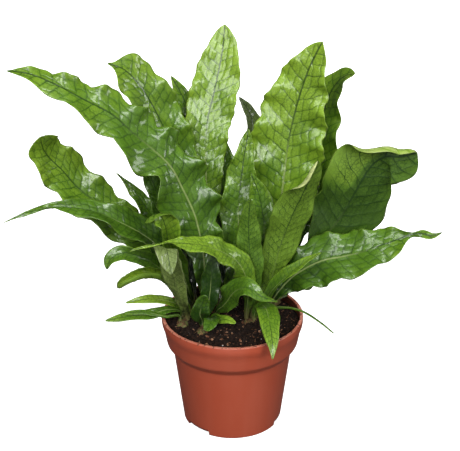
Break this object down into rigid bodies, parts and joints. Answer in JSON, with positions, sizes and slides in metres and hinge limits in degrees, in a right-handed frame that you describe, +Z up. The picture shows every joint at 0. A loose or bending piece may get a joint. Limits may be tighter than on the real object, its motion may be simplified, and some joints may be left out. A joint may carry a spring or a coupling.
{
  "type": "potted fern",
  "caption": "Bushy potted fern with upright and arching strap-shaped fronds, wavy margins and netted blades, in a round plastic nursery pot filled with potting soil.",
  "frame": {"origin": "centre of the underside of the pot, on the surface it stands on", "axes": "+Z up, +X along the wide spread of the fronds, -Y toward the front of the plant, where the longest frond reaches to the left"},
  "size_m": [0.3526, 0.2137, 0.3361],
  "materials": {
    "pot_plastic": "satin",
    "potting_soil": "matte",
    "rhizome_bark": "matte",
    "frond_leaf": "satin"
  },
  "bodies": {
    "root": {"pot": "pot_plastic", "soil": "potting_soil", "rhizome_left": "rhizome_bark", "rhizome_centre": "rhizome_bark", "rhizome_right": "rhizome_bark", "frond_left_long": "frond_leaf", "frond_left_upper": "frond_leaf", "frond_left_narrow": "frond_leaf", "frond_left_olive": "frond_leaf", "frond_left_arching": "frond_leaf", "frond_left_pointed": "frond_leaf", "frond_left_dark": "frond_leaf", "frond_left_cupped": "frond_leaf", "frond_left_curled": "frond_leaf", "frond_left_rolled": "frond_leaf", "frond_left_grey": "frond_leaf", "frond_low_green": "frond_leaf", "frond_low_yellow": "frond_leaf", "frond_low_thin": "frond_leaf", "frond_centre_tall": "frond_leaf", "frond_centre_shaded": "frond_leaf", "frond_centre_glossy": "frond_leaf", "frond_centre_inner": "frond_leaf", "frond_centre_strap": "frond_leaf", "frond_front_matte": "frond_leaf", "frond_front_folded": "frond_leaf", "frond_front_arching": "frond_leaf", "frond_front_arched": "frond_leaf", "frond_front_hanging": "frond_leaf", "frond_soil_left": "frond_leaf", "frond_soil_middle": "frond_leaf", "frond_soil_right": "frond_leaf", "frond_right_wide": "frond_leaf", "frond_right_rear": "frond_leaf", "frond_right_hooked": "frond_leaf", "frond_right_low": "frond_leaf", "frond_right_bright": "frond_leaf", "frond_right_strap": "frond_leaf", "frond_rear_grey": "frond_leaf", "frond_rear_right_tall": "frond_leaf", "frond_rear_right_low": "frond_leaf", "frond_rear_left_wide": "frond_leaf", "frond_rear_middle": "frond_leaf", "frond_rear_left_high": "frond_leaf", "frond_rear_low": "frond_leaf", "frond_rear_small": "frond_leaf"}
  },
  "joints": []
}
